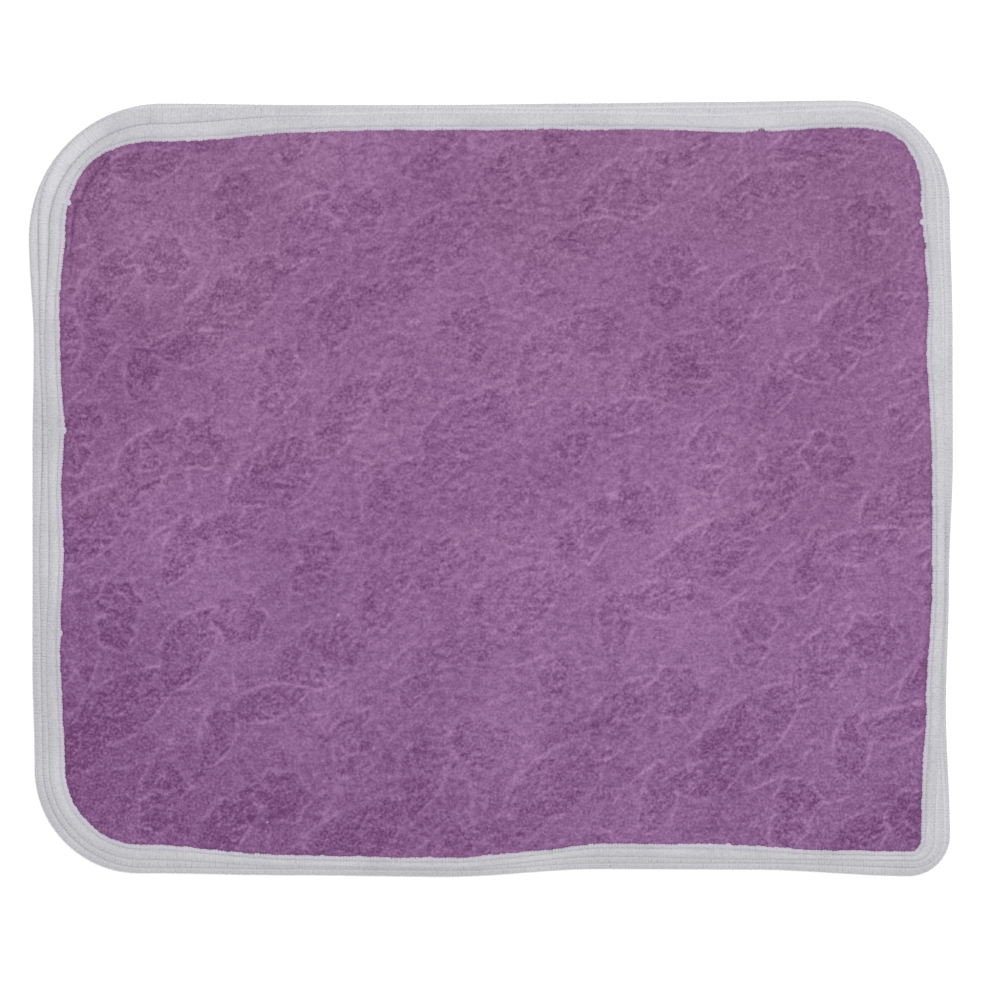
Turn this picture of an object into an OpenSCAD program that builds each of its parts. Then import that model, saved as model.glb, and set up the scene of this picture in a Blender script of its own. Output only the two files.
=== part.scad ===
// Stack of three quick-dry towels.
// Each towel is one terry cloth panel whose cut edge is bound all round by a
// three-thread overlock: a needle thread, an upper looper and a lower looper.
// The towels lie loose on each other, a little out of register.
// Lengths are in millimetres. +X runs along the long side, +Z is up.

/* [Towels] */
// Length of the top towel as it lies
top_length = 298; // [285:1:300]
// Width of the top towel as it lies
top_width = 249; // [236:1:251]
// Length of the middle towel as it lies
middle_length = 302; // [290:1:304]
// Width of the middle towel as it lies
middle_width = 254; // [242:1:256]
// Length of the bottom towel as it lies
bottom_length = 306; // [300:1:320]
// Width of the bottom towel as it lies
bottom_width = 258; // [252:1:270]
// Thickness of the open pile cloth
pile_thickness = 2.6; // [2.2:0.1:4]
// Air gap between one towel and the next
towel_gap = 0.3; // [0.2:0.1:1]

/* [Overlock edge] */
// Width of the thread cover, from the cloth edge to the loops' inner ends
stitch_width = 5; // [4.75:0.25:6]
// Distance from the cloth edge to the needle line
needle_inset = 3.4; // [2.5:0.1:3.6]
// Width of the needle line
needle_line = 0.8; // [0.5:0.1:1]
// Thickness of the thread cover on each face and round the edge
thread_cover = 0.5; // [0.3:0.05:0.7]

/* [Position in the stack] */
// Shift of the top towel along X
top_shift_x = 1.5; // [-3:0.5:3]
// Shift of the top towel along Y
top_shift_y = -0.5; // [-3:0.5:3]
// Shift of the middle towel along X
middle_shift_x = 0.5; // [-3:0.5:3]
// Shift of the middle towel along Y
middle_shift_y = 0; // [-3:0.5:3]

/* [Hidden] */

pile_color = [0.57, 0.39, 0.58];
thread_color = [0.90, 0.90, 0.92];

side_points = 30;
corner_points = 10;

// The four sides are listed counter-clockwise: right, top, left, bottom.
RIGHT = 0;
TOP = 1;
LEFT = 2;
BOTTOM = 3;

// One towel: length, width, centre x, centre y, level in the stack, the outer
// radii of its corners (lower right, upper right, upper left, lower left), and
// how far each side bows outwards at evenly spaced places along it.
bottom_towel = [
    bottom_length, bottom_width, 0, 0, 0,
    [16, 35, 45, 38],
    [[0.5, -1, -0.5, 1.5, 2, 1], [1, 0.5, 0, -0.5, -0.5, 0],
     [1.5, 0, 0, 0, 0, -0.5], [0, 1, 2, -1, -1, 1]]
];
middle_towel = [
    middle_length, middle_width, middle_shift_x, middle_shift_y, 1,
    [10, 28, 38, 34],
    [[0.5, -1, -0.5, 1, 1, 0], [1, 0, -0.5, 0, 0.5, 0],
     [1, 0.5, -0.5, 0.5, 0, -0.5], [0.5, 1, 1.5, -1, -1, 0.5]]
];
top_towel = [
    top_length, top_width, top_shift_x, top_shift_y, 2,
    [7, 22, 36, 31],
    [[-2.5, -0.5, 1, 1, 0, -2], [1.5, -0.5, 0.5, 0.5, -0.5, -3],
     [-0.5, 1, 0, -0.5, 0.5, -0.5], [-1, 1.5, 2, -2, -1, -0.5]]
];

// Heights within one towel, from its underside
margin_low = thread_cover;
margin_high = pile_thickness - thread_cover;
half_height = pile_thickness / 2;
needle_sink = thread_cover / 2;

// Smooth curve through evenly spaced values, with t from 0 to 1
function smooth(f) = f * f * (3 - 2 * f);
function bow(values, t) =
    let (
        last = len(values) - 1,
        i = min(floor(t * last), last - 1),
        f = smooth(t * last - i)
    )
    values[i] * (1 - f) + values[i + 1] * f;
function first_bow(towel, side) = towel[6][side][0];
function last_bow(towel, side) = let (v = towel[6][side]) v[len(v) - 1];

// Centres of the corner arcs, each moved with the two sides that meet there
function corner_centre(towel, k) =
    let (
        dx = towel[0] / 2 - towel[5][k],
        dy = towel[1] / 2 - towel[5][k]
    )
    k == 0 ? [dx + first_bow(towel, RIGHT), -dy - last_bow(towel, BOTTOM)]
    : k == 1 ? [dx + last_bow(towel, RIGHT), dy + first_bow(towel, TOP)]
    : k == 2 ? [-dx - first_bow(towel, LEFT), dy + last_bow(towel, TOP)]
    : [-dx - last_bow(towel, LEFT), -dy - first_bow(towel, BOTTOM)];

function corner_arc(towel, k, inset) =
    let (c = corner_centre(towel, k), r = towel[5][k] - inset)
    [for (i = [0 : corner_points])
        let (a = 90 * (k - 1) + 90 * i / corner_points)
        c + r * [cos(a), sin(a)]];

// Points of one side between its two corner arcs
function side_line(towel, k, inset) =
    let (
        a = corner_centre(towel, k),
        b = corner_centre(towel, (k + 1) % 4),
        reach = (k % 2 == 0 ? towel[0] : towel[1]) / 2 - inset
    )
    [for (i = [1 : side_points - 1])
        let (
            t = i / side_points,
            along = a + t * (b - a),
            out = reach + bow(towel[6][k], t)
        )
        k == RIGHT ? [out, along[1]]
        : k == TOP ? [along[0], out]
        : k == LEFT ? [-out, along[1]]
        : [along[0], -out]];

// Outline of a towel, moved inwards by inset
function outline(towel, inset) =
    [for (k = [0 : 3])
        each concat(corner_arc(towel, k, inset), side_line(towel, k, inset))];

// The origin is under the middle of the whole stack
function placed(towel) = [for (p = outline(towel, 0)) p + [towel[2], towel[3]]];
all_points = concat(placed(bottom_towel), placed(middle_towel), placed(top_towel));
all_x = [for (p = all_points) p[0]];
all_y = [for (p = all_points) p[1]];
stack_centre = [(min(all_x) + max(all_x)) / 2, (min(all_y) + max(all_y)) / 2];

module in_stack(towel) {
    pitch = pile_thickness + towel_gap;
    translate([towel[2] - stack_centre[0], towel[3] - stack_centre[1], towel[4] * pitch])
        children();
}

// Flat plate of the towel's outline between two heights
module plate(towel, inset, low, high) {
    translate([0, 0, low])
        linear_extrude(height = high - low)
            polygon(outline(towel, inset));
}

// Flat band along the towel's edge between two insets
module band(towel, outer_inset, inner_inset, low, high) {
    translate([0, 0, low])
        linear_extrude(height = high - low)
            difference() {
                polygon(outline(towel, outer_inset));
                polygon(outline(towel, inner_inset));
            }
}

// Terry cloth: full pile inside the stitching, pressed thin under it
module panel(towel) {
    color(pile_color)
        in_stack(towel)
            union() {
                plate(towel, stitch_width, 0, pile_thickness);
                plate(towel, thread_cover, margin_low, margin_high);
            }
}

// Needle thread: one line of stitches on the face and one on the back, each
// lying in the groove that it pulls into the looper thread
module needle_thread(towel) {
    inner = needle_inset + needle_line;
    color(thread_color)
        in_stack(towel)
            union() {
                band(towel, needle_inset, inner, margin_high + needle_sink, pile_thickness);
                band(towel, needle_inset, inner, 0, margin_low - needle_sink);
            }
}

// Upper looper: covers the face of the margin, runs under the needle line and
// wraps down over the edge
module upper_looper(towel) {
    color(thread_color)
        in_stack(towel)
            union() {
                band(towel, 0, stitch_width, margin_high, margin_high + needle_sink);
                band(towel, 0, needle_inset, margin_high, pile_thickness);
                band(towel, 0, thread_cover, half_height, margin_high);
            }
}

// Lower looper: the same on the back, wrapping up over the edge
module lower_looper(towel) {
    color(thread_color)
        in_stack(towel)
            union() {
                band(towel, 0, stitch_width, margin_low - needle_sink, margin_low);
                band(towel, 0, needle_inset, 0, margin_low);
                band(towel, 0, thread_cover, margin_low, half_height);
            }
}

panel(bottom_towel);  // bottom_panel
needle_thread(bottom_towel);  // bottom_needle_thread
upper_looper(bottom_towel);  // bottom_upper_looper
lower_looper(bottom_towel);  // bottom_lower_looper
panel(middle_towel);  // middle_panel
needle_thread(middle_towel);  // middle_needle_thread
upper_looper(middle_towel);  // middle_upper_looper
lower_looper(middle_towel);  // middle_lower_looper
panel(top_towel);  // top_panel
needle_thread(top_towel);  // top_needle_thread
upper_looper(top_towel);  // top_upper_looper
lower_looper(top_towel);  // top_lower_looper
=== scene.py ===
"""A stack of three quick dry towels: brushed terry panels with overlocked edges.

Lengths are millimetres until a mesh is made. An edge place is (s, d): s runs
anticlockwise along the towel's outline and d is the inset from it.
"""

import math

import bpy
import numpy as np
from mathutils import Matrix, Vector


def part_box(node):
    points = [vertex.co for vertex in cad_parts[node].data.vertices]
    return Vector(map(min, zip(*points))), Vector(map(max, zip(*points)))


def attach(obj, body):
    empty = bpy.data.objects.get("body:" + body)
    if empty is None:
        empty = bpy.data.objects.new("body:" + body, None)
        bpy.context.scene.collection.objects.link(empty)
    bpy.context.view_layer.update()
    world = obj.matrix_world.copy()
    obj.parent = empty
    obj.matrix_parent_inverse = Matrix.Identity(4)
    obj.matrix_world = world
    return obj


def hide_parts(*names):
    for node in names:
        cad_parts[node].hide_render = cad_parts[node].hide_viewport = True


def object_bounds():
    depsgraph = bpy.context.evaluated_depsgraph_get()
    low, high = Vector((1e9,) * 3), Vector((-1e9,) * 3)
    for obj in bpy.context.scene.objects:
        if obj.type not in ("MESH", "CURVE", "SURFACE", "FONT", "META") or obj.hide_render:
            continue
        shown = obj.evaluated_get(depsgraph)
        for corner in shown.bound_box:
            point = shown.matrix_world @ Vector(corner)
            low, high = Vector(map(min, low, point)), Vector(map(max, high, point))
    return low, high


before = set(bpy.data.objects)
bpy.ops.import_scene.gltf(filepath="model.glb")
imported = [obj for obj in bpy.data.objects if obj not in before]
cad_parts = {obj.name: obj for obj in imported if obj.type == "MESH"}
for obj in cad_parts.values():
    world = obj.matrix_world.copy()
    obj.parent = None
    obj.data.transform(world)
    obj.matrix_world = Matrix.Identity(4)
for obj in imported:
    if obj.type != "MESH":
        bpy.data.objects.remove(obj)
cad_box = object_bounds()

MM = 0.001

# ---------------------------------------------------------------- the towels
# Outline: corner radii go right front, right back, left back, left front, and
# each side's bow goes right, back, left, front, anticlockwise like s.
# Band: how far the thread reaches in from the edge, along each side.
TOWELS = {
    "bottom": {
        "body": "bottom_towel",
        "size": (307, 258),
        "flat": (0.306, 0.258),
        "radii": (14, 35, 45, 35),
        "bows": (
            (0.5, -0.8, 0.2, 1.5, 1.4, 0.5),
            (1, 0.5, 0, -0.5, -0.5, 0),
            (1.6, 0, 0.45, 0.4, 0.45, -0.3),
            (0.4, 1.1, 1.6, -1, -0.8, 1.4),
        ),
        "band": ((6.0, 6.3, 6.0), (6.0, 6.2, 7.0), (7.5, 7.0, 6.5), (6.5, 6.2, 6.0)),
        "band_at_corners": (6.0, 6.2, 7.5, 6.5),
        "seed": 31,
        "sway": 0.45,
    },
    "middle": {
        "body": "middle_towel",
        "size": (302, 254),
        "flat": (0.302, 0.254),
        "radii": (10, 31, 38, 34),
        "bows": (
            (0.5, -1, -0.5, 1, 1, 0),
            (1, 0, -0.5, 0, 0.5, 0),
            (1, 0.5, -0.5, 0.5, 0, -0.5),
            (0.5, 1, 1.5, -1, -1, 0.5),
        ),
        "band": ((5.2, 5.4, 5.2), (5.4, 6.0, 8.5), (8.5, 7.0, 6.5), (6.2, 5.6, 5.4)),
        "band_at_corners": (5.2, 5.4, 9.0, 6.5),
        "seed": 17,
        "sway": 0.7,
    },
    "top": {
        "body": "top_towel",
        "size": (299.2, 250.2),
        "flat": (0.300, 0.250),
        "radii": (7, 28, 36, 31),
        "bows": (
            (-2.5, -0.5, 1, 1, 0, -2),
            (1.5, -0.5, 0.5, 0.5, -0.5, -3),
            (-0.5, 1, 0, -0.5, 0.5, -0.5),
            (-1, 1.5, 2, -2, -1, -0.5),
        ),
        "band": (
            (4.2, 4.5, 4.3, 4.0, 3.9, 4.2, 4.8, 4.0, 4.6),
            (5.5, 5.5, 4.5, 5.0, 5.2, 5.3, 4.9, 5.9, 5.5),
            (4.9, 4.3, 4.9, 5.2, 4.0, 4.5, 4.4, 4.8, 4.8),
            (4.4, 4.0, 3.3, 3.2, 3.3, 4.1, 4.4, 3.1, 2.9),
        ),
        "band_at_corners": (4.3, 3.4, 4.1, 4.7),
        "seed": 5,
        "sway": 1.0,
    },
}
STITCH = 2.0  # spacing along the edge
PILE = 2.6  # a towel's thickness
MARGIN = 1.7  # height of the pressed edge that the thread lies on
RIM = 1.05  # height of the cloth's rounded cut edge
RIM_INSET = 0.85  # of the face's first row of points
# The rows below the face, each (inset, height), and the height of the back.
SIDE_ROW, UNDER_ROW = (0.6, 1.25), (RIM_INSET, 0.62)
BACK_MARGIN_ROW, BACK_EDGE_ROW = (3.4, 0.5), (4.8, 0.12)
BACK_HEIGHT = 0.04
HALF_LENGTH, HALF_WIDTH = 150, 125  # of the area that the pattern fills
TOP_GRID, HIDDEN_GRID, BACK_GRID = 0.6, 1.4, 3.0  # pitch of a panel's grid

# Each stitch strays a little from a regular one. STRAY_ALONG is the most that
# it strays either way; the other strays and the drift are standard deviations.
STRAY_ALONG = 0.05  # of a stitch
STRAY_INWARD = 0.11
STRAY_UP = 0.035
STRAY_PLUMP = 0.04  # of the thread's size
DRIFT_INWARD = 0.24
DRIFT_STITCHES = 5  # from one drift to the next
CAUGHT_SHARE = 0.025  # of the loops, which caught on the pile
CAUGHT_INWARD = (-0.9, 1.0)  # how far off those may lie
LOOP_PUSH = 0.08  # how far each loop pushes the pile in


# ------------------------------------------------------------- small helpers
def eased(values, t):
    """Evenly spaced values, joined smoothly; t goes from 0 to 1."""
    values = np.asarray(values, float)
    place = np.clip(t, 0, 1) * (len(values) - 1)
    i = np.minimum(place.astype(int), len(values) - 2)
    f = place - i
    f = f * f * (3 - 2 * f)
    return values[i] * (1 - f) + values[i + 1] * f


def step(low, high, x):
    """0 below low, 1 above high, smooth between."""
    t = np.clip((x - low) / (high - low), 0, 1)
    return t * t * (3 - 2 * t)


def bump_at(x, centre, width):
    """A smooth hump of height 1."""
    return np.exp(-(((x - centre) / width) ** 2))


class Field:
    """A value at every point over the towels, on a fine grid, read smoothly."""

    half_x, half_y, cell = 180.0, 150.0, 0.4

    def __init__(self, values=None):
        self.columns = int(2 * self.half_x / self.cell)
        self.rows = int(2 * self.half_y / self.cell)
        self.values = np.zeros((self.rows, self.columns)) if values is None else values

    @classmethod
    def noise(cls, seed, wavelength, spread=0.4, stretch=1.0, angle=0.0):
        """Random waves near one wavelength, with standard deviation 1."""
        field = cls()
        rng = np.random.default_rng(seed)
        white = rng.normal(size=field.values.shape)
        ky = np.fft.fftfreq(field.rows, cls.cell)[:, None]
        kx = np.fft.fftfreq(field.columns, cls.cell)[None, :]
        turn = math.radians(angle)
        along = (kx * math.cos(turn) + ky * math.sin(turn)) * stretch
        across = -kx * math.sin(turn) + ky * math.cos(turn)
        k = np.hypot(along, across) * wavelength
        k[0, 0] = 1e-6
        ring = np.exp(-0.5 * (np.log(k) / spread) ** 2)
        values = np.real(np.fft.ifft2(np.fft.fft2(white) * ring))
        field.values = values / values.std()
        return field

    def at(self, xy):
        u = (xy[:, 0] + self.half_x) / self.cell
        v = (xy[:, 1] + self.half_y) / self.cell
        i = np.clip(u.astype(int), 0, self.columns - 2)
        j = np.clip(v.astype(int), 0, self.rows - 2)
        f, g = u - i, v - j
        z = self.values
        front = z[j, i] * (1 - f) + z[j, i + 1] * f
        back = z[j + 1, i] * (1 - f) + z[j + 1, i + 1] * f
        return front * (1 - g) + back * g

    def window(self, x, y, reach):
        """The cells near a point: slices into values, and offsets from it."""
        i0 = max(int((x - reach + self.half_x) / self.cell), 0)
        j0 = max(int((y - reach + self.half_y) / self.cell), 0)
        i1 = min(int((x + reach + self.half_x) / self.cell) + 1, self.columns)
        j1 = min(int((y + reach + self.half_y) / self.cell) + 1, self.rows)
        dx = np.arange(i0, i1) * self.cell - self.half_x - x
        dy = np.arange(j0, j1) * self.cell - self.half_y - y
        return (slice(j0, j1), slice(i0, i1)), dx[None, :], dy[:, None]


# ------------------------------------------------------------ a towel's edge
class Edge:
    """One towel's outline, with its outward direction and thread band."""

    def __init__(self, name, towel):
        points, outward, band = [], [], []
        for k in range(4):
            self._corner(towel, k, points, outward, band)
            self._side(towel, k, points, outward, band)
        points = np.concatenate(points)
        outward = np.concatenate(outward)
        band = np.concatenate(band)

        low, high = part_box(name + "_upper_looper")
        middle = np.array([low.x + high.x, low.y + high.y]) / 2 / MM
        points += middle - (points.min(0) + points.max(0)) / 2

        steps = np.linalg.norm(np.roll(points, -1, 0) - points, axis=1)
        self.s = np.concatenate([[0], np.cumsum(steps)[:-1]])
        self.length = steps.sum()
        self.points, self.outward, self.band_values = points, outward, band
        self.count = int(round(self.length / STITCH))
        self.pitch = self.length / self.count
        self.low, self.high = points.min(0), points.max(0)

        self._vary_stitches(np.random.default_rng(towel["seed"]))

    def _vary_stitches(self, rng):
        """How far each stitch strays along, inward and up, and how plump it is."""
        self.shift = rng.uniform(-STRAY_ALONG, STRAY_ALONG, self.count)
        self.reach = rng.normal(0, STRAY_INWARD, self.count)
        caught = rng.random(self.count) < CAUGHT_SHARE
        self.reach += caught * rng.uniform(*CAUGHT_INWARD, self.count)
        self.lift = rng.normal(0, STRAY_UP, self.count)
        self.slack = rng.normal(0, STRAY_PLUMP, self.count)
        drift = rng.normal(0, DRIFT_INWARD, self.count // DRIFT_STITCHES)
        knots = np.arange(len(drift)) * self.count / len(drift)
        self.reach += np.interp(np.arange(self.count), knots, drift, period=self.count)

    def _bow_ends(self, towel, k):
        """The corner's centre, moved by the bows of the sides that meet there."""
        length, width = towel["size"]
        radius, bows = towel["radii"][k], towel["bows"]
        dx, dy = length / 2 - radius, width / 2 - radius
        centres = (
            (dx + bows[0][0], -dy - bows[3][-1]),
            (dx + bows[0][-1], dy + bows[1][0]),
            (-dx - bows[2][0], dy + bows[1][-1]),
            (-dx - bows[2][-1], -dy - bows[3][0]),
        )
        return np.array(centres[k])

    def _corner(self, towel, k, points, outward, band):
        t = np.linspace(0, 1, 60)
        angle = np.radians(90 * (k - 1) + 90 * t)
        away = np.stack([np.cos(angle), np.sin(angle)], 1)
        points.append(self._bow_ends(towel, k) + towel["radii"][k] * away)
        outward.append(away)
        ends = (towel["band"][k - 1][-1], towel["band_at_corners"][k], towel["band"][k][0])
        band.append(eased(ends, t))

    def _side(self, towel, k, points, outward, band):
        t = np.linspace(0, 1, 202)[1:-1]
        start, end = self._bow_ends(towel, k), self._bow_ends(towel, (k + 1) % 4)
        line = start + t[:, None] * (end - start)
        reach = towel["size"][k % 2] / 2 + eased(towel["bows"][k], t)
        axis = k % 2
        sign = 1 if k < 2 else -1
        line[:, axis] = sign * reach
        away = np.zeros_like(line)
        away[:, axis] = sign
        points.append(line)
        outward.append(away)
        band.append(eased(towel["band"][k], t))

    def _read(self, s, table):
        return np.interp(s, self.s, table, period=self.length)

    def place(self, s, d):
        """The point at inset d, and the outward direction there."""
        x = self._read(s, self.points[:, 0])
        y = self._read(s, self.points[:, 1])
        nx = self._read(s, self.outward[:, 0])
        ny = self._read(s, self.outward[:, 1])
        size = np.hypot(nx, ny)
        nx, ny = nx / size, ny / size
        return np.stack([x - nx * d, y - ny * d], 1), np.stack([nx, ny], 1)

    def band(self, s):
        return self._read(s, self.band_values)

    def stitch_of(self, s):
        """Which stitch is nearest, and how far along it s is, from -0.5 to 0.5."""
        turn = s / self.pitch
        nearest = np.round(turn)
        return nearest.astype(int) % self.count, turn - nearest

    def pile_line(self, s, ragged):
        """Where the purple pile stops: pushed in by each thread loop."""
        stitch, phase = self.stitch_of(s)
        loop = np.cos(2 * math.pi * phase)
        wave = LOOP_PUSH * loop + self.reach[stitch] * (0.5 + 0.5 * loop)
        return self.band(s) + wave + ragged

    def locate(self, xy):
        """(s, d) of each point; far from the edge s is 0 and d only a large value."""
        nearby, far_away, guide_pitch, batch = 24, 40.0, 0.8, 2500
        s = np.zeros(len(xy))
        d = np.full(len(xy), far_away)
        inside = np.minimum(xy - self.low, self.high - xy).min(1)
        near = np.nonzero(inside < nearby)[0]
        guide_s = np.arange(0, self.length, guide_pitch)
        guide, away = self.place(guide_s, 0)
        for part in np.array_split(near, max(1, len(near) // batch)):
            gap = xy[part][:, None, :] - guide[None, :, :]
            closest = np.argmin((gap**2).sum(2), 1)
            offset = guide[closest] - xy[part]
            d[part] = (offset * away[closest]).sum(1)
            tangent = np.stack([-away[closest][:, 1], away[closest][:, 0]], 1)
            s[part] = guide_s[closest] - (offset * tangent).sum(1)
        return s, d


# --------------------------------------------------- the sculpted terry pattern
# The loops stand in a plain all-over pattern of leaves, blossoms and stems. One
# repeat of it, in millimetres: each leaf is (x, y, length, width, turn, bend),
# each blossom (x, y, radius, petals) and each stem (x, y, length, turn, bend).
REPEAT_ACROSS = (66.0, 18.0)
REPEAT_UP = (-13.4, 60.0)
FIRST_REPEAT = (-57, -56)
REPEATS = range(-4, 5)
LEAVES = (
    (0, 0, 42, 21, 33, 0.004),
    (21, 22, 34, 16, 58, -0.010),
    (-17, -17, 28, 12, 12, 0.012),
    (33, -6, 26, 12, 78, 0.010),
)
BLOSSOMS = ((-27, 12, 9.0, 6), (-3, 25, 6.4, 5), (13, -25, 7.6, 6))
STEMS = (
    (-13, 5, 34, 62, 0.016),
    (22, -3, 30, 47, -0.014),
    (4, -19, 26, 24, 0.018),
    (-30, -6, 22, 100, -0.02),
    (8, 34, 24, 8, 0.02),
)


def turned(dx, dy, degrees, bend):
    """Distances along and across a line that may curve."""
    turn = math.radians(degrees)
    along = dx * math.cos(turn) + dy * math.sin(turn)
    across = -dx * math.sin(turn) + dy * math.cos(turn)
    return along, across - bend * along**2


def leaf(dx, dy, length, width, turn, bend):
    """A leaf's raised outline and veins, and its looped inside."""
    along, across = turned(dx, dy, turn, bend)
    share = np.clip(1 - (2 * along / length) ** 2, 0, 1)
    half = width / 2 * share**0.75 * (1 - 0.25 * along / length)
    beyond = np.maximum(np.abs(2 * along) - length, 0)
    out = np.hypot(np.maximum(np.abs(across) - half, 0), beyond)
    out = out - np.maximum(half - np.abs(across), 0) * (share > 0)
    inside = step(0.3, 1.4, -out)
    vein_gap, vein_slant = 5.0, 1.3
    square_to_vein = 0.61  # a distance along the leaf, turned square to a vein
    slant = along - vein_slant * np.abs(across)
    to_vein = np.abs((slant / vein_gap + 0.5) % 1 - 0.5) * vein_gap * square_to_vein
    veins = bump_at(to_vein, 0, 0.62) * step(0.8, 1.8, np.abs(across)) * inside
    rib = bump_at(across, 0, 0.6) * inside
    return bump_at(out, 0, 0.72) + 0.8 * veins + 0.6 * rib, inside


def blossom(dx, dy, radius, petals):
    """A blossom's raised petal edges and eye, and its looped inside."""
    away, angle = np.hypot(dx, dy), np.arctan2(dy, dx)
    edge = radius * (1 + 0.10 * np.cos(petals * angle))
    eye = 0.38 * radius
    outline = bump_at(away, edge, 0.7) + 0.8 * bump_at(away, eye, 0.6)
    between = np.abs(np.sin(petals * angle / 2 + math.pi / 2)) * away / petals * 2
    parting = bump_at(between, 0, 0.55) * step(eye, eye + 1, away)
    inside = step(0.2, 1.1, edge - away)
    return outline + 0.5 * parting * inside, inside


def stem(dx, dy, length, turn, bend):
    """A raised stem that fades at both ends."""
    along, across = turned(dx, dy, turn, bend)
    fade = 1 - step(0.55, 1.0, np.abs(2 * along) / length)
    return bump_at(across, 0, 0.7) * fade, 0 * along


def woven_pattern(seed):
    """Raised lines and looped areas of the repeat, slightly pulled about."""
    lines, loops = Field(), Field()
    rng = np.random.default_rng(seed)
    kinds = [(leaf, part, 0.55 * part[2] + 3) for part in LEAVES]
    kinds += [(blossom, part, part[2] * 1.3 + 2) for part in BLOSSOMS]
    kinds += [(stem, part, 0.55 * part[2] + 3) for part in STEMS]
    for across in REPEATS:
        for up in REPEATS:
            x = FIRST_REPEAT[0] + across * REPEAT_ACROSS[0] + up * REPEAT_UP[0]
            y = FIRST_REPEAT[1] + across * REPEAT_ACROSS[1] + up * REPEAT_UP[1]
            for draw, part, reach in kinds:
                px, py = x + part[0], y + part[1]
                if abs(px) > HALF_LENGTH + reach or abs(py) > HALF_WIDTH + reach:
                    continue
                cells, dx, dy = lines.window(px, py, reach)
                pull_x = 1.1 * np.sin((dy + py) / 7.3 + rng.normal(0, 0.2))
                pull_y = 0.9 * np.sin((dx + px) / 8.9 + rng.normal(0, 0.2))
                raised, looped = draw(dx + pull_x, dy + pull_y, *part[2:])
                clear = 1 - 0.8 * looped
                lines.values[cells] = lines.values[cells] * clear + raised
                loops.values[cells] = np.maximum(loops.values[cells], looped)
    return np.clip(lines.values, 0, 1.3), loops.values


def across_the_towel():
    """The x of each column and the y of each row of a field."""
    field = Field()
    x = np.arange(field.columns) * field.cell - field.half_x
    y = np.arange(field.rows) * field.cell - field.half_y
    return x[None, :], y[:, None]


def crowding():
    """The pattern is plain to see at the sides, and fainter down the middle."""
    x, y = across_the_towel()
    faded, middle, half = 0.42, -5, 48
    return 1 - faded * bump_at(x, middle, half) + 0 * y


def painted_broad_shade():
    """Painted broad shade, darker to the front and left and lighter at the right back; where
    darker the pile also lies lower.
    """
    x, y = across_the_towel()
    front = 0.55 * step(60, 128, -y)
    left = 0.35 * step(70, 150, -x)
    left_front = 0.45 * step(120, 240, -x - y)
    right_front = 0.2 * step(120, 240, x - y)
    right_back = 0.3 * step(20, 120, x) * step(-30, 40, y)
    return front + left + left_front + right_front - right_back


class Pile:
    """Everything that shapes and shades one towel's face."""

    def __init__(self, towel):
        seed = towel["seed"] * 100
        crowd = crowding()
        lines, loops = woven_pattern(seed + 1)
        self.patch_and_shade = Field(self._patches(seed, crowd, lines, loops))
        self.marks = Field(self._raised(seed, crowd, lines, loops))
        # Painted light: slopes that face the back, and a little to the left, are painted lighter,
        # the opposite slopes darker.
        rise_y, rise_x = np.gradient(self.marks.values, Field.cell)
        self.painted_slope_light = Field(0.20 * rise_x - 0.98 * rise_y)

    def _patches(self, seed, crowd, lines, loops):
        """How dark the pile is: in the loops and in worn areas, plus painted broad shade."""
        blots = Field.noise(seed + 6, 9, 0.5).values
        patch_and_shade = loops * (0.35 + 0.65 * step(-0.9, 0.8, blots)) * crowd
        patch_and_shade += 0.5 * step(0.3, 1.5, Field.noise(seed + 7, 17, 0.5).values)
        mottle = Field.noise(seed + 9, 2.8, 0.4).values
        patch_and_shade += 0.14 * mottle * (0.35 + 0.65 * loops)
        # The last term is painted broad shade.
        return np.clip(patch_and_shade - 0.5 * lines, -0.4, 1.1) + painted_broad_shade()

    def _raised(self, seed, crowd, lines, loops):
        """How far the pile stands up: on the pattern's lines, creases and tufts."""
        plain = step(-1.1, 0.7, Field.noise(seed + 2, 15, 0.5).values)
        creases = brushed_strokes(seed + 3, 80).values
        tousled = Field.noise(seed + 5, 4.5, 0.35, stretch=1.3, angle=10).values
        tufts = Field.noise(seed + 8, 2.2, 0.3).values
        marks = lines * plain * crowd + 0.55 * creases
        marks += (0.15 + 0.2 * (1 - crowd)) * tousled
        marks += 0.12 * tufts * (0.5 + loops)
        return np.clip(marks, -1.2, 1.6)

    def read(self, xy):
        """How dark the pile is, with painted broad shade; the painted light and shade of its
        relief; and its height.
        """
        patch_and_shade = self.patch_and_shade.at(xy)
        marks = self.marks.at(xy)
        # lean is painted light and shade: from the slopes, and lighter on raised marks.
        lean = np.clip(self.painted_slope_light.at(xy) * 0.9 + 0.9 * marks, -2.2, 2.2)
        return patch_and_shade, lean, 0.3 * marks - 0.12 * patch_and_shade


def brushed_strokes(seed, count):
    """Marks left in the pile where it was handled: a few fine curved ridges."""
    field = Field()
    rng = np.random.default_rng(seed)
    for _ in range(count):
        x = rng.uniform(-HALF_LENGTH, HALF_LENGTH)
        y = rng.uniform(-HALF_WIDTH, HALF_WIDTH)
        length, width = rng.uniform(8, 30), rng.uniform(0.5, 0.8)
        turn, bend = rng.normal(30, 45), rng.normal(0, 0.03)
        cells, dx, dy = field.window(x, y, length / 2 + 3)
        along, across = turned(dx, dy, turn, bend)
        fade = 1 - step(0.3, 1.0, np.abs(2 * along) / length)
        ridge = bump_at(across, 0, width) - 0.6 * bump_at(across, -1.9 * width, width)
        field.values[cells] += rng.uniform(0.3, 1.0) * fade * ridge
    return field


SWAY = Field.noise(77, 95, 0.45)
SWAY_MEAN, SWAY_DEVIATION, SWAY_LIMITS = 0.35, 0.26, (-1.3, 2.2)


def sway(xy):
    """The slow rise and fall that the three towels share, 0 to about 1 mm."""
    return SWAY_MEAN + SWAY_DEVIATION * np.clip(SWAY.at(xy), *SWAY_LIMITS)


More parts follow.
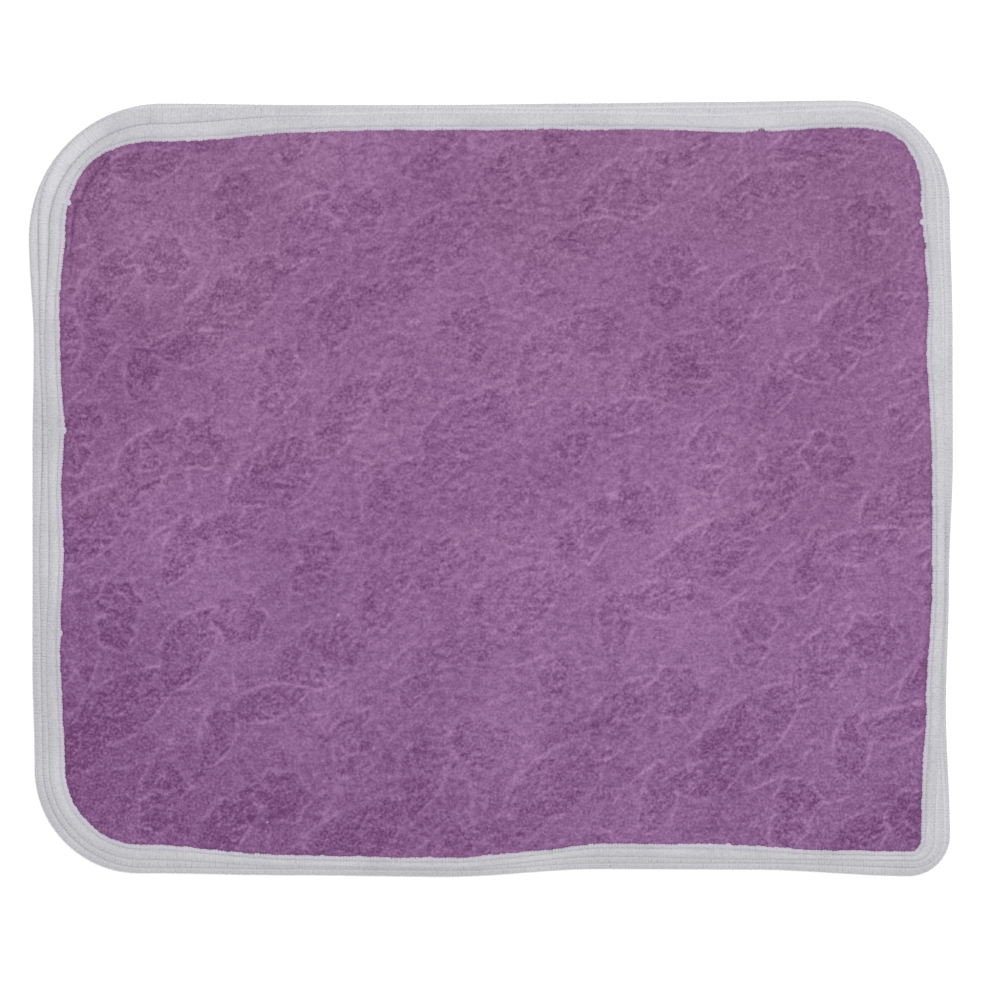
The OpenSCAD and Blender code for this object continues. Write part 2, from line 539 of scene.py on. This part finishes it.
# ----------------------------------------------------------------- meshes
def mesh_object(name, points, faces, smooth=True):
    """A mesh from points in millimetres and lists of faces of equal length."""
    mesh = bpy.data.meshes.new(name)
    mesh.vertices.add(len(points))
    mesh.vertices.foreach_set("co", (np.asarray(points) * MM).astype(np.float32).ravel())
    corners = np.concatenate([f.ravel() for f in faces]).astype(np.int32)
    sizes = np.concatenate([np.full(len(f), f.shape[1]) for f in faces])
    starts = np.concatenate([[0], np.cumsum(sizes)[:-1]]).astype(np.int32)
    mesh.loops.add(len(corners))
    mesh.loops.foreach_set("vertex_index", corners)
    mesh.polygons.add(len(sizes))
    mesh.polygons.foreach_set("loop_start", starts)
    mesh.polygons.foreach_set("use_smooth", np.full(len(sizes), smooth))
    mesh.update(calc_edges=True)
    mesh.validate()
    piece = bpy.data.objects.new(name, mesh)
    bpy.context.scene.collection.objects.link(piece)
    return piece


def give(piece, name, values):
    """A number at each point, for the material to read."""
    layer = piece.data.attributes.new(name, "FLOAT", "POINT")
    layer.data.foreach_set("value", np.asarray(values, np.float32))


class Surface:
    """Points and faces gathered row by row into one mesh."""

    def __init__(self):
        self.points, self.values, self.faces, self.total = [], [], [], 0

    def add(self, points, values):
        """points is n by 3; values is n by 3: painted edge shade, dark patches with painted broad
        shade, and painted relief light.
        """
        ids = np.arange(self.total, self.total + len(points))
        self.points.append(points)
        self.values.append(values)
        self.total += len(points)
        return ids

    def strip(self, outer, inner, up=True):
        """Quads between two closed rows of the same length."""
        quads = np.stack([outer, np.roll(outer, -1), np.roll(inner, -1), inner], 1)
        self.faces.append(quads if up else quads[:, ::-1])

    def zip_rows(self, outer, inner, up=True):
        """Triangles between two closed rows of any lengths."""
        place = np.concatenate(self.points)[:, :2]
        first = int(np.argmin(((place[inner] - place[outer[0]]) ** 2).sum(1)))
        inner = np.roll(inner, -first)
        a = [*outer.tolist(), int(outer[0])]
        b = [*inner.tolist(), int(inner[0])]
        pa, pb = place[a], place[b]
        i = j = 0
        made = []
        while i < len(a) - 1 or j < len(b) - 1:
            if j == len(b) - 1:
                take_outer = True
            elif i == len(a) - 1:
                take_outer = False
            else:
                reach_outer = ((pa[i + 1] - pb[j]) ** 2).sum()
                reach_inner = ((pa[i] - pb[j + 1]) ** 2).sum()
                take_outer = reach_outer < reach_inner
            if take_outer:
                made.append((a[i], a[i + 1], b[j]))
                i += 1
            else:
                made.append((a[i], b[j + 1], b[j]))
                j += 1
        made = np.array(made)
        self.faces.append(made if up else made[:, ::-1])


def grid_inside(edge, limit, pitch):
    """A square grid kept well inside the edge: points, quads and its rim."""
    x = np.arange(edge.low[0] + 4, edge.high[0] - 4, pitch)
    y = np.arange(edge.low[1] + 4, edge.high[1] - 4, pitch)
    gx, gy = np.meshgrid(x, y)
    xy = np.stack([gx.ravel(), gy.ravel()], 1)
    s, d = edge.locate(xy)
    kept = (d > limit(s) + 0.45 * pitch).reshape(gx.shape)
    cell = kept[:-1, :-1] & kept[1:, :-1] & kept[:-1, 1:] & kept[1:, 1:]
    ids = np.arange(gx.size).reshape(gx.shape)
    quads = np.stack(
        [ids[:-1, :-1][cell], ids[:-1, 1:][cell], ids[1:, 1:][cell], ids[1:, :-1][cell]], 1
    )
    used = np.unique(quads)
    new = np.full(gx.size, -1)
    new[used] = np.arange(len(used))
    quads = new[quads]
    starts, ends = quads.ravel(), np.roll(quads, -1, 1).ravel()
    size = len(used)
    forward, backward = starts * size + ends, ends * size + starts
    rim = ~np.isin(forward, backward)
    following = dict(zip(starts[rim].tolist(), ends[rim].tolist(), strict=True))
    loop = [int(starts[rim][0])]
    while following[loop[-1]] != loop[0]:
        loop.append(following[loop[-1]])
    return xy[used], s[used], d[used], quads, np.array(loop)


def face_height(s, d, line):
    """The pile's height over the base: a pressed margin, then a soft shoulder."""
    shoulder = step(-0.2, 0.7, d - line)
    rounded = 0.9 * step(-0.2, 0.6, d - line) + 0.1 * step(0.5, 3.5, d - line)
    pressed = MARGIN + (RIM - MARGIN) * (1 - step(0.6, 2.0, d))
    return pressed * (1 - shoulder) + (MARGIN + (PILE - MARGIN) * rounded) * shoulder


def corner_fold(xy, inside):
    """A pressed fold round the left back corner: its groove and its roll."""
    x, y = xy[:, 0], xy[:, 1]
    near = step(62, 84, y) * step(125.5, 127, -x)
    # It bends inward round the corner, and runs out to the pile's edge.
    away = 2.9 + 1.6 * step(-139.5, -136.5, x) - step(-136, -130, x)
    away = away - 2.8 * step(-130, -126, x)
    wavy = away + 0.15 * np.sin(y / 2.7)
    groove = bump_at(inside, wavy, 0.45)
    roll = bump_at(inside, wavy - 1.3, 0.7)
    return groove * near, roll * near


class Panel:
    """The terry panel: a finely modelled face, a pressed margin and a plain back."""

    def __init__(self, name, towel, edge, pile):
        self.name, self.towel, self.edge, self.pile = name, towel, edge, pile
        self.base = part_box(name + "_panel")[0].z / MM
        self.fine = name == "top"
        self.rng = np.random.default_rng(towel["seed"] + 900)
        self.surface = Surface()
        self.per_stitch = 4 if self.fine else 2  # points round the edge
        self.around = edge.count * self.per_stitch
        self.row_s = np.arange(self.around) * edge.length / self.around
        loose = self.rng.normal(0, 0.16, self.around + 2)
        ragged = np.convolve(loose, [0.3, 0.4, 0.3], "valid")
        self.line_of_row = edge.pile_line(self.row_s, ragged)

    def over_base(self, xy, height):
        """The z of a height over the panel's base, which follows the stack's sway."""
        return self.base + height + self.towel["sway"] * sway(xy)

    def face(self, xy, s, d, line):
        """Points on the face, with the values that shade them."""
        patch_and_shade, painted_relief_light, relief = self.pile.read(xy)
        full = step(0.2, 2.2, d - line)
        height = self.over_base(xy, face_height(s, d, line))
        if self.fine:
            groove, roll = corner_fold(xy, d - line)
            height += 0.12 * roll - 0.5 * groove
            # Painted shade in the fold's groove and painted light on its roll, besides their
            # relief.
            painted_relief_light = painted_relief_light + 0.2 * roll - 1.6 * groove
            patch_and_shade = np.maximum(patch_and_shade, groove)
        height += relief * full + self.rng.normal(0, 0.02, len(xy)) * full
        # Painted shade along the pile's edge, where its shoulder turns from the light; stronger
        # at the left and right sides.
        _, away = self.edge.place(s, 0)
        at_the_sides = 0.06 + 0.24 * step(0.2, 0.9, abs(away[:, 0]))
        dark = bump_at(d - line, 0.70, 0.55) * at_the_sides
        values = np.stack([dark, patch_and_shade, np.clip(painted_relief_light, -1.5, 1.5) * full], 1)
        return np.column_stack([xy, height]), values

    def row(self, inset, height=None, every=1):
        """A closed row at an inset: on the face, or plain at a given height."""
        s, d = self.row_s[::every], np.broadcast_to(inset, self.around)[::every]
        xy, _ = self.edge.place(s, d)
        points, values = self.face(xy, s, d, self.line_of_row[::every])
        if height is not None:
            points[:, 2] = self.over_base(xy, height)
            values[:] = 0
        return self.surface.add(points, values)

    def make_face(self):
        """Rows from the rim over the margin to the pile, then a grid; the first row."""
        surface, edge = self.surface, self.edge
        coarse = (-0.2, 0.15, 0.6, 1.3)
        shoulder = (-0.25, 0.0, 0.3, 0.6, 0.95, 1.4) if self.fine else coarse
        band = edge.band(self.row_s)
        insets = [np.full(self.around, RIM_INSET), band * 0.35, band * 0.7]
        insets += [self.line_of_row + extra for extra in shoulder[:-1]]
        insets += [band + shoulder[-1]]
        rows = [self.row(inset) for inset in insets]
        for outer, inner in zip(rows[:-1], rows[1:], strict=True):
            surface.strip(outer, inner)
        pitch = TOP_GRID if self.fine else HIDDEN_GRID
        xy, s, d, quads, rim = grid_inside(edge, lambda s: edge.band(s) + shoulder[-1], pitch)
        ids = surface.add(*self.face(xy, s, d, edge.band(s)))
        surface.faces.append(ids[quads])
        surface.zip_rows(rows[-1], ids[rim])
        return rows[0]

    def make_back(self, first_row):
        """Round the cut edge from the face's first row, then under to a plain grid."""
        surface = self.surface
        side = self.row(*SIDE_ROW)
        under = self.row(*UNDER_ROW)
        surface.strip(side, first_row)
        surface.strip(under, side)
        margin = self.row(*BACK_MARGIN_ROW, every=self.per_stitch)
        back_edge = self.row(*BACK_EDGE_ROW, every=self.per_stitch)
        surface.zip_rows(under, margin, up=False)
        surface.strip(margin, back_edge, up=False)
        limit = BACK_EDGE_ROW[0]
        xy, _, _, quads, rim = grid_inside(self.edge, lambda s: np.full(len(s), limit), BACK_GRID)
        back = self.over_base(xy, BACK_HEIGHT) + np.abs(self.rng.normal(0, 0.03, len(xy)))
        values = np.zeros((len(xy), 3))
        values[:, 1] = step(-0.3, 1.3, self.pile.patch_and_shade.at(xy))
        ids = surface.add(np.column_stack([xy, back]), values)
        surface.faces.append(ids[quads][:, ::-1])
        surface.zip_rows(back_edge, ids[rim], up=False)

    def make(self):
        self.make_back(self.make_face())
        points = np.concatenate(self.surface.points)
        piece = mesh_object(self.name + "_terry", points, self.surface.faces)
        values = np.concatenate(self.surface.values)
        for column, attribute in enumerate(("painted_edge_shade", "patch_and_shade", "painted_relief_light")):
            give(piece, attribute, values[:, column])
        return piece


# ---------------------------------------------------------------- thread work
def tube(centres, ups, widths, heights, sides, rng, fuzz):
    """A closed thread of oval section along a closed row of points."""
    ahead = np.roll(centres, -1, 0) - np.roll(centres, 1, 0)
    ahead /= np.linalg.norm(ahead, axis=1)[:, None]
    across = np.cross(ahead, ups)
    across /= np.linalg.norm(across, axis=1)[:, None]
    ups = np.cross(across, ahead)
    count = len(centres)
    angle = 2 * math.pi * np.arange(sides) / sides
    wobble = 1 + rng.normal(0, fuzz, (count, sides))
    sideways = np.cos(angle)[None, :] * widths[:, None] / 2 * wobble
    upwards = np.sin(angle)[None, :] * heights[:, None] / 2 * wobble
    points = centres[:, None, :] + sideways[:, :, None] * across[:, None, :]
    points = points + upwards[:, :, None] * ups[:, None, :]
    ring = np.arange(count)[:, None] * sides + np.arange(sides)[None, :]
    after = np.roll(ring, -1, 0)
    quads = np.stack([ring, after, np.roll(after, -1, 1), np.roll(ring, -1, 1)], 2)
    return points.reshape(-1, 3), quads.reshape(-1, 4)


# Half a stitch of the face thread, from the loop hidden in the pile, over the
# needle line and out to the edge. Each row: place along the stitch, inset from
# the band's inner line (or from the outer edge), height, width, thickness.
FACE_INNER = (
    (0.000, 0.80, 1.66, 0.86, 0.43),
    (0.180, 0.36, 2.00, 1.07, 0.49),
    (0.235, -0.08, 2.36, 1.34, 0.53),
    (0.250, -0.52, 2.46, 1.46, 0.53),
    (0.250, -1.02, 2.30, 1.31, 0.43),
    (0.250, -1.50, 2.47, 1.50, 0.55),
)
FACE_OUTER = (
    (0.250, 2.15, 2.54, 1.56, 0.56),
    (0.250, 1.50, 2.44, 1.58, 0.58),
    (0.255, 0.92, 2.18, 1.56, 0.58),
    (0.265, 0.50, 1.80, 1.22, 0.62),
    (0.300, 0.34, 1.40, 1.02, 0.62),
    (0.500, 0.36, 1.14, 0.86, 0.50),
)
# The back thread is the same, seen from below, with less to it.
BACK_INNER = (
    (0.000, 0.30, 0.62, 0.80, 0.36),
    (0.200, -0.20, 0.34, 1.10, 0.42),
    (0.250, -0.98, 0.46, 1.10, 0.36),
    (0.250, -1.60, 0.33, 1.30, 0.46),
)
BACK_OUTER = (
    (0.250, 1.60, 0.34, 1.40, 0.50),
    (0.255, 0.90, 0.52, 1.30, 0.58),
    (0.300, 0.44, 0.94, 1.02, 0.62),
    (0.500, 0.36, 1.42, 0.80, 0.48),
)


def whole_stitch(inner, outer):
    """From half a stitch: places along it, its rows, and which are from inner."""
    half = np.array(inner + outer)
    from_inner = np.array([True] * len(inner) + [False] * len(outer))
    back = slice(-2, 0, -1)
    along = np.concatenate([half[:, 0], 1 - half[back, 0]])
    table = np.concatenate([half, half[back]])
    return along, table, np.concatenate([from_inner, from_inner[back]])


def shade_thread(piece, sides, xy, inset, band, above, underneath):
    """Where a looper gets painted pink light bounced from the pile, painted shade along the
    needle line, or painted light at its rim, beside the towel above and at the left back.
    """
    # Painted light bounced pink from the pile, near the band's inner line.
    pile_bounce = np.zeros(len(inset)) if underneath else step(-0.72, -0.3, inset - band)
    # Painted shade in the stitches along the needle line.
    stitch_shade = bump_at(inset - band, -1.02, 0.3)
    lit = 0.56 * bump_at(inset, 0.3, 0.5)
    if above and not underneath:
        _, inside_above = above.locate(xy)
        beside_above = bump_at(inside_above, 0.2, 0.8)
        left_back = 0.4 * step(15, 50, xy[:, 1]) * step(120, 138, -xy[:, 0])
        lit = np.maximum(np.maximum(lit, beside_above), left_back)
    give(piece, "pile_bounce", np.repeat(pile_bounce, sides))
    give(piece, "stitch_shade", np.repeat(stitch_shade, sides))
    give(piece, "lit", np.repeat(lit, sides))


def looper(name, towel, edge, above, inner, outer, offset, sides, underneath):
    """A looper thread: one closed thread that zigzags round the whole edge."""
    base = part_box(towel_node(name, "panel"))[0].z / MM
    rng = np.random.default_rng(towel["seed"] + (700 if underneath else 500))
    along, table, from_inner = whole_stitch(inner, outer)

    index = np.repeat(np.arange(edge.count), len(table))
    going = np.tile(along, edge.count)
    later = (index + (going > 0.5)) % edge.count
    turn = index + going + offset
    lean = 1 - step(0.16, 0.5, np.minimum(going, 1 - going))
    s = (turn + edge.shift[later] * lean * 0.5) * edge.pitch
    strand = rng.normal(0, 0.02, (edge.count, 2))
    lateral = strand[index, (going > 0.5).astype(int)]
    s = s + lateral * step(0.1, 0.25, np.minimum(going, 1 - going)) * edge.pitch

    band = edge.band(s)
    inset = np.tile(table[:, 1], edge.count)
    hangs_in = np.tile(from_inner, edge.count)
    reach = 0 if underneath else edge.reach[later] * lean
    inset = np.where(hangs_in, band + inset + reach, inset)
    room = np.clip((band - 1.5) / 3.0, 0.55, 1.3)
    inset = np.where(hangs_in, inset, np.where(inset > 0.8, inset * room, inset))
    xy, away = edge.place(s, inset)

    lift = edge.lift[later] * (0.5 if underneath else 1)
    height = np.tile(table[:, 2], edge.count) + lift * step(0.3, 1.5, inset)
    z = base + height + towel["sway"] * sway(xy)
    centres = np.column_stack([xy, z])

    # Near the rim the thread faces away from the cloth's core; further in, up.
    core_inset, core_height = 1.7, 1.0 if underneath else 1.55
    at_rim = inset < core_inset
    outwards = np.where(at_rim, core_inset - inset, 0)
    upwards = np.where(at_rim, height - core_height, -1.0 if underneath else 1.0)
    ups = np.column_stack([away * outwards[:, None], upwards])
    ups /= np.linalg.norm(ups, axis=1)[:, None]

    plump = 1 + edge.slack[later] + rng.normal(0, 0.03, len(index))
    ahead, _ = edge.place(s + 0.5, inset)
    behind, _ = edge.place(s - 0.5, inset)
    spacing = np.clip(np.linalg.norm(ahead - behind, axis=1), 0.4, 1.1)
    widths = np.tile(table[:, 3], edge.count) * plump * spacing
    heights = np.tile(table[:, 4], edge.count) * plump
    points, quads = tube(centres, ups, widths, heights, sides, rng, 0.035)

    part = "_back_thread" if underneath else "_face_thread"
    piece = mesh_object(name + part, points, [quads])
    shade_thread(piece, sides, xy, inset, band, above, underneath)
    return piece


# One needle stitch on the face, then the same on the back: place along the
# stitch, inset from the band's inner line, height, thickness.
NEEDLE = (
    (0.00, -0.98, 2.10, 0.34),
    (0.10, -0.96, 2.42, 0.40),
    (0.30, -0.98, 2.52, 0.44),
    (0.60, -0.98, 2.50, 0.44),
    (0.86, -1.00, 2.38, 0.38),
    (0.94, -0.98, 1.90, 0.32),
)


def needle_thread(name, towel, edge):
    """The needle's row of stitches: along the face, closed through the back."""
    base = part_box(towel_node(name, "panel"))[0].z / MM
    rng = np.random.default_rng(towel["seed"] + 800)
    table = np.array(NEEDLE)
    points, faces, total = [], [], 0
    for below in (False, True):
        index = np.repeat(np.arange(edge.count), len(table))
        s = (index + np.tile(table[:, 0], edge.count)) * edge.pitch
        s = s + edge.shift[index] * edge.pitch * 0.5
        inset = edge.band(s) + np.tile(table[:, 1], edge.count)
        inset = inset + rng.normal(0, 0.03, len(inset))
        xy, _ = edge.place(s, inset)
        height = np.tile(table[:, 2], edge.count)
        if below:
            lowest, highest = 0.24, 2.52
            height = lowest + (highest - height) * 0.6
        centres = np.column_stack([xy, base + height + towel["sway"] * sway(xy)])
        ups = np.tile([0.0, 0.0, 1.0], (len(centres), 1))
        size = np.tile(table[:, 3], edge.count)
        made, quads = tube(centres, ups, size, size * 0.9, 6, rng, 0.02)
        points.append(made)
        faces.append(quads + total)
        total += len(made)
    piece = mesh_object(name + "_needle_thread_work", np.concatenate(points), faces)
    give(piece, "pile_bounce", np.zeros(total))
    # Painted shade over the whole needle thread, which lies in the stitches.
    give(piece, "stitch_shade", np.full(total, 0.6))
    give(piece, "lit", np.zeros(total))
    return piece


def towel_node(name, part):
    """A CAD node's name."""
    return f"{name}_{part}"


# ------------------------------------------------------------------ materials
# Colours are linear. Tones run from the shadows to the lit tips.
PILE_TONES = (
    (0.30, (0.103, 0.034, 0.108)),
    (0.45, (0.144, 0.058, 0.149)),
    (0.60, (0.192, 0.088, 0.199)),
    (0.75, (0.249, 0.126, 0.256)),
    (0.90, (0.315, 0.172, 0.322)),
)
# Painted shade along the pile's edge.
PILE_EDGE_SHADE = (0.075, 0.020, 0.078)
PILE_WARMTH = (1.0, 0.98, 0.93)
PILE_SHEEN = (0.85, 0.62, 0.88)
# Painted shade for gaps between tufts.
GAP_SHADE_COLOUR = (0.075, 0.02, 0.085)
PALE_LINT = (0.60, 0.48, 0.60)
THREAD_TONES = (
    (0.22, (0.35, 0.35, 0.375)),
    (0.50, (0.43, 0.43, 0.455)),
    (0.80, (0.51, 0.51, 0.535)),
)
THREAD_LIT = (0.62, 0.62, 0.65)
# Painted light bounced pink from the pile.
PILE_BOUNCE_TINT = (0.47, 0.38, 0.50)
# Painted shade in the stitches.
THREAD_STITCH_SHADE = (0.25, 0.25, 0.28)
THREAD_SHEEN = (0.95, 0.95, 1.0)
FLOOR_TONES = ((0.3, (0.90, 0.90, 0.90)), (0.7, (0.92, 0.92, 0.92)))


class Nodes:
    """A short way to write a material's nodes."""

    def __init__(self, name):
        self.material = bpy.data.materials.new(name)
        self.material.use_nodes = True
        self.tree = self.material.node_tree
        self.shader = self.tree.nodes["Principled BSDF"]
        coordinates = self.tree.nodes.new("ShaderNodeTexCoord")
        self.position = coordinates.outputs["Object"]

    def link(self, output, socket):
        self.tree.links.new(output, socket)

    def stretched(self, turn, scale):
        node = self.tree.nodes.new("ShaderNodeMapping")
        node.vector_type = "TEXTURE"
        node.inputs["Rotation"].default_value = (0, 0, math.radians(turn))
        node.inputs["Scale"].default_value = scale
        self.link(self.position, node.inputs["Vector"])
        return node.outputs["Vector"]

    def towards_back(self):
        node = self.tree.nodes.new("ShaderNodeSeparateXYZ")
        self.link(self.position, node.inputs["Vector"])
        return node.outputs["Y"]

    def noise(self, per_metre, detail=2.0, roughness=0.5, distortion=0.0, vector=None):
        node = self.tree.nodes.new("ShaderNodeTexNoise")
        node.inputs["Scale"].default_value = per_metre
        node.inputs["Detail"].default_value = detail
        node.inputs["Roughness"].default_value = roughness
        node.inputs["Distortion"].default_value = distortion
        self.link(vector or self.position, node.inputs["Vector"])
        return node.outputs["Fac"]

    def cells(self, per_metre):
        node = self.tree.nodes.new("ShaderNodeTexVoronoi")
        node.inputs["Scale"].default_value = per_metre
        self.link(self.position, node.inputs["Vector"])
        return node.outputs["Distance"], node.outputs["Color"]

    def attribute(self, name):
        node = self.tree.nodes.new("ShaderNodeAttribute")
        node.attribute_name = name
        return node.outputs["Fac"]

    def swing(self, value, weight, base):
        """base, plus weight times how far value is from one half."""
        return self.math("MULTIPLY_ADD", self.math("SUBTRACT", value, 0.5), weight, base)

    def math(self, operation, a, b=0.0, c=0.0):
        node = self.tree.nodes.new("ShaderNodeMath")
        node.operation = operation
        for socket, value in zip(node.inputs, (a, b, c), strict=True):
            if isinstance(value, (int, float)):
                socket.default_value = value
            else:
                self.link(value, socket)
        return node.outputs[0]

    def between(self, value, low, high, out_low=0.0, out_high=1.0):
        node = self.tree.nodes.new("ShaderNodeMapRange")
        node.interpolation_type = "SMOOTHSTEP"
        sockets = ("From Min", "From Max", "To Min", "To Max")
        for socket, number in zip(sockets, (low, high, out_low, out_high), strict=True):
            node.inputs[socket].default_value = number
        self.link(value, node.inputs["Value"])
        return node.outputs["Result"]

    def ramp(self, value, stops):
        node = self.tree.nodes.new("ShaderNodeValToRGB")
        elements = node.color_ramp.elements
        while len(elements) < len(stops):
            elements.new(0.5)
        for element, (place, colour) in zip(elements, stops, strict=True):
            element.position = place
            element.color = (*colour, 1)
        self.link(value, node.inputs["Fac"])
        return node.outputs["Color"]

    def mix(self, factor, a, b, blend="MIX"):
        node = self.tree.nodes.new("ShaderNodeMix")
        node.data_type = "RGBA"
        node.blend_type = blend
        sockets = (node.inputs[0], node.inputs[6], node.inputs[7])
        for socket, value in zip(sockets, (factor, a, b), strict=True):
            if isinstance(value, tuple):
                socket.default_value = (*value, 1)
            elif isinstance(value, (int, float)):
                socket.default_value = value
            else:
                self.link(value, socket)
        return node.outputs[2]

    def bump(self, height, distance, strength):
        node = self.tree.nodes.new("ShaderNodeBump")
        node.inputs["Strength"].default_value = strength
        node.inputs["Distance"].default_value = distance
        self.link(height, node.inputs["Height"])
        self.link(node.outputs["Normal"], self.shader.inputs["Normal"])

    def finish(self, colour, roughness, sheen, sheen_roughness, tint):
        self.link(colour, self.shader.inputs["Base Color"])
        settings = {
            "Roughness": roughness,
            "Sheen Weight": sheen,
            "Sheen Roughness": sheen_roughness,
            "Sheen Tint": (*tint, 1),
            "Specular IOR Level": 0.15,
        }
        for socket, value in settings.items():
            self.shader.inputs[socket].default_value = value
        return self.material


def pile_tone(n, speckle, tuft, patch_and_shade, painted_relief_light):
    """How light the pile is, from its tufts, its patches with painted broad shade, and painted
    light and shade on its relief.
    """
    broad = n.noise(22, 2.0, 0.5)
    streak = n.noise(260, 1.5, 0.5, 0.2, vector=n.stretched(0, (4.0, 0.33, 1.0)))
    grip = n.math("MULTIPLY_ADD", patch_and_shade, 0.5, 1.0)
    tone = n.math("MULTIPLY", n.math("SUBTRACT", speckle, 0.5), grip)
    tone = n.math("MULTIPLY_ADD", tone, 0.75, 0.636)
    tone = n.swing(tuft, 0.25, tone)
    tone = n.swing(streak, 0.08, tone)
    tone = n.swing(broad, 0.29, tone)
    # Painted light and shade from the relief.
    tone = n.math("MULTIPLY_ADD", painted_relief_light, 0.112, tone)
    return n.math("MULTIPLY_ADD", patch_and_shade, -0.12, tone)


def with_specks(n, colour):
    """Here and there painted shade for a gap between tufts, and more rarely a bit of lint."""
    distance, cell = n.cells(260)
    speck = n.between(distance, 0.10, 0.16, 1.0, 0.0)
    rare = n.tree.nodes.new("ShaderNodeSeparateColor")
    n.link(cell, rare.inputs["Color"])
    gap_shade = n.math("MULTIPLY", speck, n.between(rare.outputs["Red"], 0.975, 0.985))
    lint = n.math("MULTIPLY", speck, n.between(rare.outputs["Green"], 0.9975, 0.9985))
    colour = n.mix(n.math("MULTIPLY", gap_shade, 0.6), colour, GAP_SHADE_COLOUR)
    return n.mix(n.math("MULTIPLY", lint, 0.3), colour, PALE_LINT)


def terry_material():
    """Purple brushed pile: speckled tufts and darker patches, with painted broad shade, painted
    light and shade on its relief, and painted shade at its edge and in gaps between tufts.
    """
    n = Nodes("terry_cloth_purple")
    speckle = n.noise(1050, 2.5, 0.7)
    tuft = n.noise(330, 2.0, 0.6, 0.6)
    tone = pile_tone(n, speckle, tuft, n.attribute("patch_and_shade"), n.attribute("painted_relief_light"))
    colour = n.ramp(tone, PILE_TONES)
    behind = n.between(n.towards_back(), -0.07, 0.15)
    warm = n.math("MULTIPLY", n.between(n.noise(9, 1.0, 0.5), 0.35, 0.65, 0.3, 1.0), behind)
    colour = with_specks(n, n.mix(warm, colour, PILE_WARMTH, "MULTIPLY"))
    # Painted shade along the pile's edge.
    colour = n.mix(n.math("MULTIPLY", n.attribute("painted_edge_shade"), 0.85), colour, PILE_EDGE_SHADE)
    n.bump(n.math("MULTIPLY_ADD", tuft, 0.5, speckle), 0.00022, 0.55)
    return n.finish(colour, 0.92, 0.25, 0.45, PILE_SHEEN)


def thread_material():
    """Soft off-white textured thread, with painted pink light bounced from the pile where it
    meets it, painted shade along the needle line and painted light at its rim and beside the
    towel above.
    """
    n = Nodes("overlock_thread_white")
    fuzz = n.noise(1500, 2.5, 0.65)
    colour = n.ramp(n.swing(n.noise(60, 2.0, 0.5), 0.5, fuzz), THREAD_TONES)
    # Painted light, painted light bounced from the pile, and painted shade in the stitches.
    shades = (("lit", 0.85, THREAD_LIT), ("pile_bounce", 0.45, PILE_BOUNCE_TINT), ("stitch_shade", 0.48, THREAD_STITCH_SHADE))
    for attribute, weight, shade in shades:
        colour = n.mix(n.math("MULTIPLY", n.attribute(attribute), weight), colour, shade)
    n.bump(fuzz, 0.00012, 0.5)
    return n.finish(colour, 0.75, 0.15, 0.5, THREAD_SHEEN)


def floor_material():
    n = Nodes("studio_floor")
    colour = n.ramp(n.noise(3, 1.0), FLOOR_TONES)
    return n.finish(colour, 0.9, 0.0, 0.5, (1, 1, 1))


# -------------------------------------------------------------- building it
FLOOR_HALF = 4000
ROOM_LIGHT = 0.55
# name, place and size in metres, watts
LIGHTS = (("key", (0.5, 1.2, 1.4), 1.2, 3), ("overhead", (0.09, 0.09, 1.5), 1.0, 20))
# The camera looks straight down: its height over the top, and in metres what it
# sees from side to side and the middle of that.
CAMERA_HEIGHT, CAMERA_FIELD, CAMERA_MIDDLE = 2.0, 0.3345, (0.003, -0.00385)
SENSOR = 36


def settle(piece, material, body, node_parts, towel_name):
    piece.data.materials.append(material)
    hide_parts(*[towel_node(towel_name, part) for part in node_parts])
    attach(piece, body)


def build_towel(name, towel, edge, above, terry, thread):
    body = towel["body"]
    fine = name == "top"
    panel = Panel(name, towel, edge, Pile(towel)).make()
    settle(panel, terry, body, ["panel"], name)
    face = looper(name, towel, edge, above, FACE_INNER, FACE_OUTER, 0.0, 8 if fine else 6, False)
    settle(face, thread, body, ["upper_looper"], name)
    back = looper(name, towel, edge, above, BACK_INNER, BACK_OUTER, 0.5, 6, True)
    settle(back, thread, body, ["lower_looper"], name)
    needle = needle_thread(name, towel, edge)
    settle(needle, thread, body, ["needle_thread"], name)
    return panel


def make_floor():
    corners = FLOOR_HALF * np.array([(-1.0, -1, 0), (1, -1, 0), (1, 1, 0), (-1, 1, 0)])
    floor = mesh_object("studio_floor", corners, [np.array([[0, 1, 2, 3]])])
    floor.data.materials.append(floor_material())
    return floor


def add_light(name, place, size, power, target=(0, 0, 0)):
    data = bpy.data.lights.new(name, "AREA")
    data.shape = "SQUARE"
    data.size = size
    data.energy = power
    lamp = bpy.data.objects.new(name, data)
    bpy.context.scene.collection.objects.link(lamp)
    lamp.location = place
    away = lamp.location - type(lamp.location)(target)
    lamp.rotation_euler = away.to_track_quat("Z", "Y").to_euler()
    lamp.visible_camera = False
    return lamp


def set_stage():
    scene = bpy.context.scene
    world = bpy.data.worlds.new("soft_room")
    world.use_nodes = True
    background = world.node_tree.nodes["Background"]
    background.inputs["Color"].default_value = (1, 1, 1, 1)
    background.inputs["Strength"].default_value = ROOM_LIGHT
    scene.world = world
    scene.view_settings.view_transform = "Standard"
    for light in LIGHTS:
        add_light(*light)


def set_camera():
    top = cad_box[1][2]
    data = bpy.data.cameras.new("camera")
    data.sensor_width = SENSOR
    data.lens = SENSOR * CAMERA_HEIGHT / CAMERA_FIELD
    camera = bpy.data.objects.new("camera", data)
    bpy.context.scene.collection.objects.link(camera)
    camera.location = (*CAMERA_MIDDLE, top + CAMERA_HEIGHT)
    bpy.context.scene.camera = camera


def main():
    set_camera()
    set_stage()
    floor = make_floor()
    terry, thread = terry_material(), thread_material()
    edges = {name: Edge(name, towel) for name, towel in TOWELS.items()}
    above = {"bottom": edges["middle"], "middle": edges["top"], "top": None}
    for name, towel in TOWELS.items():
        panel = build_towel(name, towel, edges[name], above[name], terry, thread)


main()
